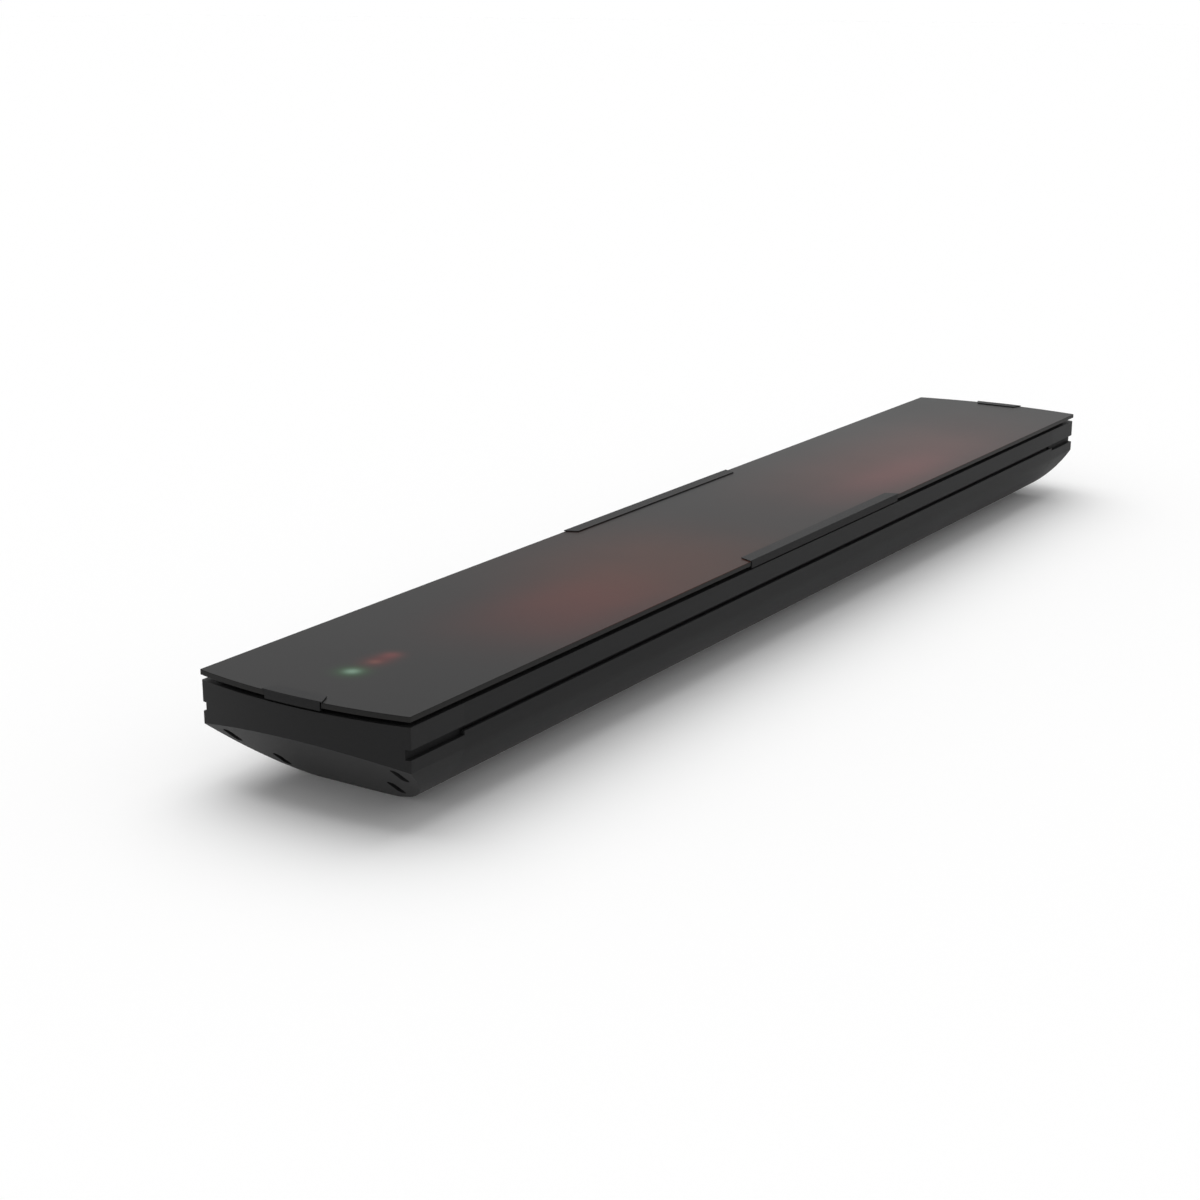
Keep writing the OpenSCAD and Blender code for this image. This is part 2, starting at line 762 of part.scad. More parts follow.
// Electronics in the middle: a plate on the flat of the back with four posts and a circuit board
plate_l = 136;
plate_w = back_flat - 6;
plate_t = 2;
post_h = 8;
post_d = 6;
pcb_l = 110;
pcb_w = 100;
pcb_t = 1.6;
pcb_z = wall + plate_t + post_h;
pcb_top = pcb_z + pcb_t;
earth_x = plate_l / 2 - 6;
earth_y = -plate_w / 2 + 7;
earth_d = 5;
module power_plate() {
    color([0.74, 0.74, 0.75]) {
        difference() {
            translate([-plate_l / 2, -plate_w / 2, wall]) cube([plate_l, plate_w, plate_t]);
            translate([earth_x, earth_y, wall - 1]) cylinder(h = plate_t + 2, d = earth_d + screw_fit, $fn = 32);
        }
        mirrored_x() mirrored_y() translate([pcb_l / 2 - 8, plate_w / 2 - 5, wall + plate_t - eps])
            cylinder(h = post_h + eps, d = post_d, $fn = 36);
    }
}

module power_board() {
    color([0.1, 0.35, 0.2]) translate([-pcb_l / 2, -pcb_w / 2, pcb_z]) cube([pcb_l, pcb_w, pcb_t]);
}

module relays() {
    color([0.12, 0.14, 0.2]) mirrored_x() translate([22 - 14, 22, pcb_top]) cube([28, 13, 16]);
}

// Finned block that cools the power switch
sink_l = 46;
sink_h = 22;
sink_fins = 7;
module heat_sink() {
    color([0.68, 0.68, 0.7]) {
        translate([-sink_l / 2, -36, pcb_top]) cube([sink_l, 30, 4]);
        for (i = [0 : sink_fins - 1])
            translate([-sink_l / 2 + i * (sink_l - 2) / (sink_fins - 1), -36, pcb_top + 4 - eps])
                cube([2, 30, sink_h - 4]);
    }
}

cap_can_d = 13;
module capacitor() {
    color([0.15, 0.2, 0.35]) translate([-pcb_l / 2 + 13, -26, pcb_top]) cylinder(h = 24, d = cap_can_d, $fn = 48);
}

connector_l = 10;
connector_w = 30;
connector_h = 11;
wire_up_z = pcb_top + 5;
wire_low_z = wall + 7;
module board_connectors() {
    color([0.2, 0.45, 0.3]) mirrored_x() translate([pcb_l / 2 - connector_l, -connector_w / 2, pcb_top])
        cube([connector_l, connector_w, connector_h]);
}

module earth_screw() {
    color([0.8, 0.65, 0.32]) translate([earth_x, earth_y, wall + plate_t]) {
        difference() {
            cylinder(h = 4, d = 9, $fn = 6);
            translate([-3, -0.6, 2.6]) cube([6, 1.2, 2]);
        }
        translate([0, 0, -plate_t]) cylinder(h = plate_t + eps, d = earth_d, $fn = 32);
    }
}

// Wires that run along the flat of the back, held by saddles
wire_gap = 6;
supply_d = 3.2;
signal_d = 2;
supply_y = [-wire_gap, 0, wire_gap];
signal_y = [-wire_gap / 2, wire_gap / 2];
wire_bend_x = plate_l / 2 + 4;
saddle_x = [tray_start + 60, tray_start + tray_l / 2, tray_start + tray_l - 60];
terminal_x = seam_x - 28;
rise_x = half_l - 14;
rise_start = foot_x - 2;
module supply_wires() {
    color([0.35, 0.2, 0.12]) for (y = supply_y) wire([
        [pcb_l / 2, y, wire_up_z], [wire_bend_x, y, wire_up_z], [wire_bend_x, y, wire_low_z],
        [terminal_x, y, wire_low_z]
    ], supply_d);
}

// The signal wires follow the slope of the left cap and rise to the socket under the indicator bracket
module signal_wires() {
    color([0.8, 0.8, 0.78]) for (y = signal_y) wire([
        [-pcb_l / 2, y, wire_up_z], [-wire_bend_x, y, wire_up_z], [-wire_bend_x, y, wire_low_z],
        [-rise_start, y, wire_low_z], [-rise_x, y, wire_low_z + (rise_x - rise_start) * slope_tan],
        [-rise_x, y, bracket_top - bracket_t - socket_h]
    ], signal_d);
}

saddle_w = 20;
saddle_h = wire_low_z - wall + supply_d / 2 + 2;
module wire_saddles() {
    color([0.25, 0.25, 0.25]) for (x = saddle_x) {
        difference() {
            translate([x - 4, -saddle_w / 2, wall]) cube([8, saddle_w, saddle_h]);
            for (y = supply_y) translate([x - 5, y, wire_low_z]) rotate([0, 90, 0])
                cylinder(h = 10, d = supply_d + screw_fit, $fn = 32);
        }
        difference() {
            translate([-x - 4, -saddle_w / 2, wall]) cube([8, saddle_w, saddle_h]);
            for (y = signal_y) translate([-x - 5, y, wire_low_z]) rotate([0, 90, 0])
                cylinder(h = 10, d = signal_d + screw_fit, $fn = 32);
        }
    }
}

// Leads from the studs of the elements, over the end of the tray and down to the circuit board
lead_d = 3;
lead_x = tray_start - 5;
lead_y = plate_w / 2 + 12;
lead_z = ribbon_z + terminal_h + 2.4 + lead_d / 2;
module element_leads() {
    color([0.75, 0.72, 0.65]) mirrored_x() mirrored_y() wire([
        [stud_x - stud_d / 2, -ribbon_y0, lead_z], [lead_x, -ribbon_y0, lead_z],
        [lead_x, lead_y, pcb_top + lead_d / 2], [pcb_l / 2 - 4, lead_y, pcb_top + lead_d / 2]
    ], lead_d);
}

module supply_terminal() {
    color([0.88, 0.88, 0.84]) difference() {
        translate([terminal_x, -11, wall]) cube([24, 22, 17]);
        for (y = supply_y) translate([terminal_x + 9, y, wall + 11]) cylinder(h = 7, d = 4, $fn = 32);
    }
}

// Sheet bracket that hangs from the rim of the left cap and carries the indicator board under the glass
bracket_t = 1.5;
bracket_w = 20;
stand_h = 3;
ind_t = 1.6;
ind_w = 26;
ind_room = 7.4;
ind_z = glass_z - ind_room - ind_t;
bracket_top = ind_z - stand_h;
ind_x0 = half_l - lamp_green + 15;
ind_x1 = half_l - lamp_red_2 - 12;
hook_x1 = half_l + end_bulge - glass_overhang - cap_wall - 1;
hook_x0 = hook_x1 - 9;
socket_h = 10;
module indicator_bracket() {
    color([0.7, 0.7, 0.71]) mirror([1, 0, 0]) {
        translate([ind_x1, -bracket_w / 2, bracket_top - bracket_t])
            cube([hook_x0 + bracket_t - ind_x1, bracket_w, bracket_t]);
        translate([hook_x0, -bracket_w / 2, bracket_top - bracket_t])
            cube([bracket_t, bracket_w, rim_z - rim_t - bracket_top + bracket_t]);
        translate([hook_x0, -bracket_w / 2, rim_z - rim_t - bracket_t])
            cube([hook_x1 - hook_x0, bracket_w, bracket_t]);
        for (x = [ind_x1 + 5, ind_x0 - 5]) mirrored_y() translate([x, bracket_w / 2 - 4, bracket_top - eps])
            cylinder(h = stand_h + eps, d = 5, $fn = 36);
        translate([rise_x - 5, -8, bracket_top - bracket_t - socket_h]) cube([10, 16, socket_h + eps]);
    }
}

module indicator_board() {
    color([0.1, 0.3, 0.18]) mirror([1, 0, 0]) translate([ind_x1, -ind_w / 2, ind_z])
        cube([ind_x0 - ind_x1, ind_w, ind_t]);
}

// A lens with a round top that ends just under the glass
lamp_air = 0.4;
module lamp(set) {
    h = ind_room - lamp_air - lamp_d / 2;
    translate([-(half_l - set), 0, ind_z + ind_t]) {
        cylinder(h = h, d = lamp_d, $fn = 36);
        cylinder(h = 1, d = lamp_d + 1, $fn = 36);
        translate([0, 0, h]) sphere(d = lamp_d, $fn = 36);
    }
}

module indicator_green() {
    color([0.25, 0.85, 0.4]) lamp(lamp_green);
}

module indicator_red() {
    color([0.85, 0.15, 0.12]) {
        lamp(lamp_red_1);
        lamp(lamp_red_2);
    }
}

module remote_receiver() {
    color([0.08, 0.07, 0.1]) translate([-(half_l - lamp_green) - 8, 0, ind_z + ind_t]) {
        translate([-2.5, -3.5, 0]) cube([5, 7, 5]);
        translate([0, 0, 5]) intersection() {
            sphere(r = 2.2, $fn = 36);
            translate([-3, -3, -0.5]) cube([6, 6, 4]);
        }
    }
}

// Cable gland through the sloping underside of the right cap, square to the slope
gland_flange = 4;
gland_hex = gland_d + 5;
dome_h = 10;
thread_out = 7;
thread_in = cap_wall + 6;
module gland_frame() {
    on_slope(gland_set, 0) children();
}

module cable_gland() {
    color([0.1, 0.1, 0.1]) gland_frame() difference() {
        union() {
            translate([0, 0, -gland_flange]) cylinder(h = gland_flange, d = gland_hex, $fn = 6);
            translate([0, 0, -gland_flange - thread_out]) cylinder(h = thread_out + gland_flange + thread_in,
                d = gland_d, $fn = 64);
        }
        translate([0, 0, -30]) cylinder(h = 60, d = inlet_bore, $fn = 64);
    }
}

module gland_nut() {
    color([0.12, 0.12, 0.12]) gland_frame() translate([0, 0, -gland_flange - dome_h]) difference() {
        union() {
            translate([0, 0, 4]) cylinder(h = dome_h - 4, d = gland_hex, $fn = 6);
            cylinder(h = 4 + eps, d1 = inlet_bore + 4.5, d2 = gland_d + 2, $fn = 64);
        }
        translate([0, 0, dome_h - thread_out - 0.3]) cylinder(h = dome_h, d = gland_d + screw_fit, $fn = 64);
        translate([0, 0, -1]) cylinder(h = dome_h, d = inlet_bore, $fn = 64);
    }
}

module gland_locknut() {
    color([0.15, 0.15, 0.15]) gland_frame() translate([0, 0, cap_wall]) difference() {
        cylinder(h = 4, d = gland_hex, $fn = 6);
        translate([0, 0, -1]) cylinder(h = 6, d = gland_d + screw_fit, $fn = 64);
    }
}

glass_front();
glass_gasket();
side_clip_near();
side_clip_far();
end_clip_left();
end_clip_right();
clip_screws();
housing();
end_cap_left();
end_cap_right();
cap_screws_left();
cap_screws_right();
element_tray_left();
element_tray_right();
insulation_left();
insulation_right();
heating_element_left();
heating_element_right();
terminals_left();
terminals_right();
terminal_studs();
tray_screws();
thermal_cutout_left();
thermal_cutout_right();
heat_shield_left();
heat_shield_right();
centre_bridge();
glass_pad();
bridge_screws();
power_plate();
power_board();
relays();
heat_sink();
capacitor();
board_connectors();
earth_screw();
supply_wires();
signal_wires();
wire_saddles();
element_leads();
supply_terminal();
indicator_bracket();
indicator_board();
indicator_green();
indicator_red();
remote_receiver();
cable_gland();
gland_nut();
gland_locknut();
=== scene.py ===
import math

import bmesh
import bpy
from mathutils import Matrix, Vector


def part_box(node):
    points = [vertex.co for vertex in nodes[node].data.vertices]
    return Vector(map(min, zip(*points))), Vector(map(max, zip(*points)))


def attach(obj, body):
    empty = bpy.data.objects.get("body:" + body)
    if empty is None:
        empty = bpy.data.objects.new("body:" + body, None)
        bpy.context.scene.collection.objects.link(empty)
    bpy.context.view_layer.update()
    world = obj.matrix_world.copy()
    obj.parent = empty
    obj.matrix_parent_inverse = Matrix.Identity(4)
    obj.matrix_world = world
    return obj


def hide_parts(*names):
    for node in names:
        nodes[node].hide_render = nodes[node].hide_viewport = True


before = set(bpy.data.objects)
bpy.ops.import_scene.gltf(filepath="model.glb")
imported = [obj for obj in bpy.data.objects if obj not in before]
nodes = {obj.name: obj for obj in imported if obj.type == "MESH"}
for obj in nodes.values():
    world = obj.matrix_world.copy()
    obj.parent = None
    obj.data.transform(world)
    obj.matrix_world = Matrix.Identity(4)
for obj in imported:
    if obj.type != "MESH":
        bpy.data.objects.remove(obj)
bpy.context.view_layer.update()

# Camera
# Looks down the length of the heater from its left end, a little above the glass.
camera = bpy.data.objects.new("camera", bpy.data.cameras.new("camera"))
camera.data.lens = 62.76
camera.data.sensor_width = 36.0
camera.location = (-1.5947, -0.8849, 0.5356)
camera.rotation_euler = (math.radians(73.66), 0.0, math.radians(-57.114))
bpy.context.scene.collection.objects.link(camera)
bpy.context.scene.camera = camera
bpy.context.scene.view_settings.view_transform = "Standard"

# Floor and light
# A white studio table under an even white sky, with one broad soft lamp that shines down from
# beyond the right end and the far side. Table and sky look white, but light the heater less.
floor_mesh = bmesh.new()
bmesh.ops.create_grid(floor_mesh, x_segments=1, y_segments=1, size=30.0)
floor = bpy.data.objects.new("floor", bpy.data.meshes.new("floor"))
floor_mesh.to_mesh(floor.data)
floor_mesh.free()
bpy.context.scene.collection.objects.link(floor)

table_to_heater, table_to_eye = (0.72, 0.72, 0.72, 1.0), (1.0, 1.0, 1.0, 1.0)
glow_to_eye, glow_in_gloss = 0.03, 0.24
table_white = bpy.data.materials.new("table_white")
table_white.use_nodes = True
table_nodes, table_links = table_white.node_tree.nodes, table_white.node_tree.links
table_nodes.clear()
table_rays = table_nodes.new("ShaderNodeLightPath")
table_shown = table_nodes.new("ShaderNodeMath")
table_shown.operation = "MAXIMUM"
table_links.new(table_rays.outputs["Is Camera Ray"], table_shown.inputs[0])
table_links.new(table_rays.outputs["Is Glossy Ray"], table_shown.inputs[1])
table_colour = table_nodes.new("ShaderNodeMix")
table_colour.data_type = "RGBA"
table_colour.inputs["A"].default_value = table_to_heater
table_colour.inputs["B"].default_value = table_to_eye
table_links.new(table_shown.outputs[0], table_colour.inputs["Factor"])
table_face = table_nodes.new("ShaderNodeBsdfDiffuse")
table_links.new(table_colour.outputs["Result"], table_face.inputs["Color"])
table_glow = table_nodes.new("ShaderNodeEmission")
glow_shown = table_nodes.new("ShaderNodeMath")
glow_shown.operation = "MULTIPLY"
glow_shown.inputs[1].default_value = glow_to_eye
table_links.new(table_rays.outputs["Is Camera Ray"], glow_shown.inputs[0])
glow_mirrored = table_nodes.new("ShaderNodeMath")
glow_mirrored.operation = "MULTIPLY_ADD"
glow_mirrored.inputs[1].default_value = glow_in_gloss
table_links.new(table_rays.outputs["Is Glossy Ray"], glow_mirrored.inputs[0])
table_links.new(glow_shown.outputs[0], glow_mirrored.inputs[2])
table_mix = table_nodes.new("ShaderNodeMixShader")
table_links.new(glow_mirrored.outputs[0], table_mix.inputs["Fac"])
table_links.new(table_face.outputs[0], table_mix.inputs[1])
table_links.new(table_glow.outputs[0], table_mix.inputs[2])
table_out = table_nodes.new("ShaderNodeOutputMaterial")
table_links.new(table_mix.outputs[0], table_out.inputs["Surface"])
floor.data.materials.append(table_white)

sky_to_heater, sky_to_eye = 0.5, 1.0
sky = bpy.data.worlds.new("studio_sky")
bpy.context.scene.world = sky
sky.use_nodes = True
sky_nodes, sky_links = sky.node_tree.nodes, sky.node_tree.links
sky_nodes.clear()
sky_rays = sky_nodes.new("ShaderNodeLightPath")
sky_seen = sky_nodes.new("ShaderNodeMath")
sky_seen.operation = "MAXIMUM"
sky_links.new(sky_rays.outputs["Is Camera Ray"], sky_seen.inputs[0])
sky_links.new(sky_rays.outputs["Is Glossy Ray"], sky_seen.inputs[1])
sky_through = sky_nodes.new("ShaderNodeMath")
sky_through.operation = "MAXIMUM"
sky_links.new(sky_seen.outputs[0], sky_through.inputs[0])
sky_links.new(sky_rays.outputs["Is Transmission Ray"], sky_through.inputs[1])
sky_level = sky_nodes.new("ShaderNodeMapRange")
sky_level.inputs["To Min"].default_value = sky_to_heater
sky_level.inputs["To Max"].default_value = sky_to_eye
sky_links.new(sky_through.outputs[0], sky_level.inputs["Value"])
sky_light = sky_nodes.new("ShaderNodeBackground")
sky_light.inputs["Color"].default_value = (1.0, 1.0, 1.0, 1.0)
sky_links.new(sky_level.outputs["Result"], sky_light.inputs["Strength"])
sky_out = sky_nodes.new("ShaderNodeOutputWorld")
sky_links.new(sky_light.outputs[0], sky_out.inputs["Surface"])

lamp_aim = Vector((-0.42, -0.38, -1.0))
lamp = bpy.data.objects.new("soft_lamp", bpy.data.lights.new("soft_lamp", "SUN"))
lamp.data.angle = math.radians(75)
lamp.data.energy = 1.8
lamp.rotation_euler = lamp_aim.to_track_quat("-Z", "Y").to_euler()
bpy.context.scene.collection.objects.link(lamp)


# Housing
# One length of extruded aluminium with a round back, a rim for the glass and a mounting groove in
# each side. It is coated with satin black powder paint, and its long edges are slightly rounded.
def coat_pattern():
    grain_part, cloud_part = 0.45, 0.55
    group = bpy.data.node_groups.new("powder_paint", "ShaderNodeTree")
    group.interface.new_socket("Grain", in_out="INPUT", socket_type="NodeSocketFloat")
    group.interface.new_socket("Height", in_out="OUTPUT", socket_type="NodeSocketFloat")
    group.interface.new_socket("Tone", in_out="OUTPUT", socket_type="NodeSocketFloat")
    made, links = group.nodes, group.links
    inlet, outlet = made.new("NodeGroupInput"), made.new("NodeGroupOutput")
    place = made.new("ShaderNodeTexCoord")
    grain = made.new("ShaderNodeTexNoise")
    grain.inputs["Detail"].default_value = 3.0
    grain.inputs["Roughness"].default_value = 0.6
    links.new(place.outputs["Object"], grain.inputs["Vector"])
    links.new(inlet.outputs["Grain"], grain.inputs["Scale"])
    cloud = made.new("ShaderNodeTexNoise")
    cloud.inputs["Scale"].default_value = 7.0
    cloud.inputs["Detail"].default_value = 4.0
    links.new(place.outputs["Object"], cloud.inputs["Vector"])
    tone = made.new("ShaderNodeMath")
    tone.operation = "MULTIPLY_ADD"
    tone.inputs[1].default_value = grain_part
    links.new(grain.outputs["Fac"], tone.inputs[0])
    share = made.new("ShaderNodeMath")
    share.operation = "MULTIPLY"
    share.inputs[1].default_value = cloud_part
    links.new(cloud.outputs["Fac"], share.inputs[0])
    links.new(share.outputs[0], tone.inputs[2])
    links.new(grain.outputs["Fac"], outlet.inputs["Height"])
    links.new(tone.outputs[0], outlet.inputs["Tone"])
    return group


def finish(name, roughness, metallic=0.0, specular=0.5):
    made = bpy.data.materials.new(name)
    made.use_nodes = True
    shader = made.node_tree.nodes["Principled BSDF"]
    shader.inputs["Roughness"].default_value = roughness
    shader.inputs["Metallic"].default_value = metallic
    shader.inputs["Specular IOR Level"].default_value = specular
    return made, shader


def lay_pattern(material, pattern, fineness):
    laid = material.node_tree.nodes.new("ShaderNodeGroup")
    laid.node_tree = pattern
    laid.inputs[0].default_value = fineness
    return laid


def spread(material, shader, tone, dark, light, rough_low, rough_high):
    tone_low, tone_high = 0.3, 0.7
    tree = material.node_tree
    colour = tree.nodes.new("ShaderNodeMix")
    colour.data_type = "RGBA"
    colour.inputs["A"].default_value = (*dark, 1.0)
    colour.inputs["B"].default_value = (*light, 1.0)
    contrast = tree.nodes.new("ShaderNodeMapRange")
    rough = tree.nodes.new("ShaderNodeMapRange")
    rough.inputs["To Min"].default_value = rough_low
    rough.inputs["To Max"].default_value = rough_high
    for stretched in (contrast, rough):
        stretched.inputs["From Min"].default_value = tone_low
        stretched.inputs["From Max"].default_value = tone_high
        tree.links.new(tone, stretched.inputs["Value"])
    tree.links.new(contrast.outputs["Result"], colour.inputs["Factor"])
    tree.links.new(colour.outputs["Result"], shader.inputs["Base Color"])
    tree.links.new(rough.outputs["Result"], shader.inputs["Roughness"])
    return colour


def raise_grain(material, shader, height, strength, depth):
    tree = material.node_tree
    bump = tree.nodes.new("ShaderNodeBump")
    bump.inputs["Strength"].default_value = strength
    bump.inputs["Distance"].default_value = depth
    tree.links.new(height, bump.inputs["Height"])
    tree.links.new(bump.outputs["Normal"], shader.inputs["Normal"])


def powder_coat(name, grain, dark, light, rough_low, rough_high, specular):
    made, shader = finish(name, rough_low, specular=specular)
    laid = lay_pattern(made, powder_paint, grain)
    spread(made, shader, laid.outputs["Tone"], dark, light, rough_low, rough_high)
    raise_grain(made, shader, laid.outputs["Height"], strength=0.35, depth=0.0003)
    return made


def runs_along(edge):
    nearly_straight = 0.99
    return abs((edge.verts[0].co - edge.verts[1].co).normalized().x) > nearly_straight


def rounded_copy(name, node, radius, steps, keep=None):
    same_place, flat_within, sharp_from = 2e-6, math.radians(0.6), math.radians(32.0)
    piece = bpy.data.objects.new(name, bpy.data.meshes.new(name))
    bm = bmesh.new()
    bm.from_mesh(nodes[node].data)
    bmesh.ops.remove_doubles(bm, verts=bm.verts[:], dist=same_place)
    bmesh.ops.dissolve_limit(bm, angle_limit=flat_within, verts=bm.verts[:], edges=bm.edges[:])
    sharp = [
        edge for edge in bm.edges
        if len(edge.link_faces) == 2 and edge.calc_face_angle() > sharp_from
        and (keep is None or keep(edge))
    ]
    bmesh.ops.bevel(
        bm, geom=sharp, offset=radius, offset_type="OFFSET", segments=steps, profile=0.5,
        affect="EDGES", clamp_overlap=True, material=-1, loop_slide=True,
    )
    bm.to_mesh(piece.data)
    bm.free()
    piece.data.shade_smooth()
    piece.data.set_sharp_from_angle(angle=sharp_from)
    bpy.context.scene.collection.objects.link(piece)
    evened = piece.modifiers.new("evened", "WEIGHTED_NORMAL")
    evened.keep_sharp = True
    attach(piece, "root")
    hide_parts(node)
    return piece


powder_paint = coat_pattern()
housing_coat = powder_coat(
    "housing_coat", 1500.0, (0.0192, 0.0192, 0.0195), (0.0232, 0.0232, 0.0236), 0.48, 0.58, 0.075
)
housing = rounded_copy("housing_body", "housing", radius=0.0004, steps=2, keep=runs_along)
housing.data.materials.append(housing_coat)

# End caps
# Cast aluminium caps with a sloping underside and four vent slots, screwed on. Their black paint
# is slightly coarser. The recess at the end of the side groove has painted shade: darker and
# duller.
cap_coat = powder_coat(
    "cap_coat", 1200.0, (0.0205, 0.0205, 0.0208), (0.0245, 0.0245, 0.0249), 0.48, 0.58, 0.085
)
recess_depth, recess_height = (0.08865, 0.00185), (0.057, 0.0037)
# painted shade: the recess colour is darkened where it lies in shadow, and made rougher
recess_painted_shade = {"Base Color": (0.0115, 0.0115, 0.0118, 1.0), "Roughness": 0.64}
cap_tree = cap_coat.node_tree
cap_place = cap_tree.nodes.new("ShaderNodeTexCoord")
cap_axes = cap_tree.nodes.new("ShaderNodeSeparateXYZ")
cap_tree.links.new(cap_place.outputs["Object"], cap_axes.inputs[0])
outwards = cap_tree.nodes.new("ShaderNodeMath")
outwards.operation = "ABSOLUTE"
cap_tree.links.new(cap_axes.outputs["Y"], outwards.inputs[0])
in_recess = cap_tree.nodes.new("ShaderNodeMath")
in_recess.operation = "MULTIPLY"
for place, (middle, reach), inlet in (
    (outwards.outputs[0], recess_depth, 0), (cap_axes.outputs["Z"], recess_height, 1),
):
    near = cap_tree.nodes.new("ShaderNodeMath")
    near.operation = "COMPARE"
    near.inputs[1].default_value = middle
    near.inputs[2].default_value = reach
    cap_tree.links.new(place, near.inputs[0])
    cap_tree.links.new(near.outputs[0], in_recess.inputs[inlet])
cap_shader = cap_tree.nodes["Principled BSDF"]
for socket, shade_value in recess_painted_shade.items():
    coated = cap_shader.inputs[socket].links[0].from_socket
    shaded_in_recess = cap_tree.nodes.new("ShaderNodeMix")
    shaded_in_recess.data_type = "RGBA" if socket == "Base Color" else "FLOAT"
    shaded_in_recess.inputs["B"].default_value = shade_value
    cap_tree.links.new(coated, shaded_in_recess.inputs["A"])
    cap_tree.links.new(in_recess.outputs[0], shaded_in_recess.inputs["Factor"])
    cap_tree.links.new(shaded_in_recess.outputs["Result"], cap_shader.inputs[socket])
for side in ("left", "right"):
    cap = rounded_copy(f"end_cap_{side}_cast", f"end_cap_{side}", radius=0.0007, steps=3)
    cap.data.materials.append(cap_coat)


# Glass front
# Dark glass-ceramic with ground edges. It is black from outside, and the red of the two heating
# zones and the light of the status lamps show through it softly. A broad pale patch over the right
# half is a painted reflection, drawn as glow.
def soft_patch_group():
    drift_middle = 0.5
    group = bpy.data.node_groups.new("glow_and_reflection_patch", "ShaderNodeTree")
    group.interface.new_socket("Centre", in_out="INPUT", socket_type="NodeSocketVector")
    group.interface.new_socket("Reach", in_out="INPUT", socket_type="NodeSocketVector")
    group.interface.new_socket("Squareness", in_out="INPUT", socket_type="NodeSocketFloat")
    group.interface.new_socket("Unevenness", in_out="INPUT", socket_type="NodeSocketFloat")
    group.interface.new_socket("Mask", in_out="OUTPUT", socket_type="NodeSocketFloat")
    made, links = group.nodes, group.links
    inlet, outlet = made.new("NodeGroupInput"), made.new("NodeGroupOutput")
    place = made.new("ShaderNodeTexCoord")
    away = made.new("ShaderNodeVectorMath")
    away.operation = "SUBTRACT"
    links.new(place.outputs["Object"], away.inputs[0])
    links.new(inlet.outputs["Centre"], away.inputs[1])
    scaled = made.new("ShaderNodeVectorMath")
    scaled.operation = "DIVIDE"
    links.new(away.outputs[0], scaled.inputs[0])
    links.new(inlet.outputs["Reach"], scaled.inputs[1])
    size = made.new("ShaderNodeVectorMath")
    size.operation = "ABSOLUTE"
    links.new(scaled.outputs[0], size.inputs[0])
    parts = made.new("ShaderNodeSeparateXYZ")
    links.new(size.outputs[0], parts.inputs[0])
    total = made.new("ShaderNodeMath")
    total.operation = "ADD"
    for place_in_sum, axis in enumerate(("X", "Y")):
        power = made.new("ShaderNodeMath")
        power.operation = "POWER"
        links.new(parts.outputs[axis], power.inputs[0])
        links.new(inlet.outputs["Squareness"], power.inputs[1])
        links.new(power.outputs[0], total.inputs[place_in_sum])
    drift = made.new("ShaderNodeTexNoise")
    drift.inputs["Scale"].default_value = 14.0
    drift.inputs["Detail"].default_value = 2.0
    links.new(place.outputs["Object"], drift.inputs["Vector"])
    offset = made.new("ShaderNodeMath")
    offset.operation = "SUBTRACT"
    offset.inputs[1].default_value = drift_middle
    links.new(drift.outputs["Fac"], offset.inputs[0])
    uneven = made.new("ShaderNodeMath")
    uneven.operation = "MULTIPLY_ADD"
    links.new(offset.outputs[0], uneven.inputs[0])
    links.new(inlet.outputs["Unevenness"], uneven.inputs[1])
    links.new(total.outputs[0], uneven.inputs[2])
    fall = made.new("ShaderNodeMath")
    fall.operation = "MULTIPLY"
    fall.inputs[1].default_value = -1.0
    links.new(uneven.outputs[0], fall.inputs[0])
    mask = made.new("ShaderNodeMath")
    mask.operation = "EXPONENT"
    links.new(fall.outputs[0], mask.inputs[0])
    capped = made.new("ShaderNodeMath")
    capped.operation = "MINIMUM"
    capped.inputs[1].default_value = 1.0
    links.new(mask.outputs[0], capped.inputs[0])
    links.new(capped.outputs[0], outlet.inputs["Mask"])
    return group


patch_mask_group = soft_patch_group()
dark_glass, glass_shader = finish("dark_glass", roughness=0.35, specular=0.03)
glass_tree = dark_glass.node_tree
glass_pattern = lay_pattern(dark_glass, powder_paint, 2600.0)
glass_colour = spread(
    dark_glass, glass_shader, glass_pattern.outputs["Tone"],
    (0.0118, 0.0115, 0.0115), (0.0158, 0.0155, 0.0155), 0.34, 0.38,
)
glass_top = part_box("glass_front")[1].z
ground_colour = (0.03, 0.0295, 0.029, 1.0)
edge_below, face_below = 0.0006, 0.0002
glass_place = glass_tree.nodes.new("ShaderNodeTexCoord")
glass_height = glass_tree.nodes.new("ShaderNodeSeparateXYZ")
glass_tree.links.new(glass_place.outputs["Object"], glass_height.inputs[0])
face_share = glass_tree.nodes.new("ShaderNodeMapRange")
face_share.inputs["From Min"].default_value = glass_top - edge_below
face_share.inputs["From Max"].default_value = glass_top - face_below
glass_tree.links.new(glass_height.outputs["Z"], face_share.inputs["Value"])
ground_edge = glass_tree.nodes.new("ShaderNodeMix")
ground_edge.data_type = "RGBA"
ground_edge.inputs["A"].default_value = ground_colour
glass_tree.links.new(glass_colour.outputs["Result"], ground_edge.inputs["B"])
glass_tree.links.new(face_share.outputs["Result"], ground_edge.inputs["Factor"])
glass_tree.links.new(ground_edge.outputs["Result"], glass_shader.inputs["Base Color"])
raise_grain(
    dark_glass, glass_shader, glass_pattern.outputs["Height"], strength=0.06, depth=0.0001
)
green_box, red_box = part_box("indicator_green"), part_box("indicator_red")
green_x = (green_box[0].x + green_box[1].x) / 2
lens = green_box[1].x - green_box[0].x
red_near, red_far = red_box[0].x + lens / 2, red_box[1].x - lens / 2
red_between = (red_near + red_far) / 2
left_ends, right_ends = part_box("heating_element_left"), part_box("heating_element_right")
left_zone = (left_ends[0].x + left_ends[1].x) / 2
right_zone = (right_ends[0].x + right_ends[1].x) / 2
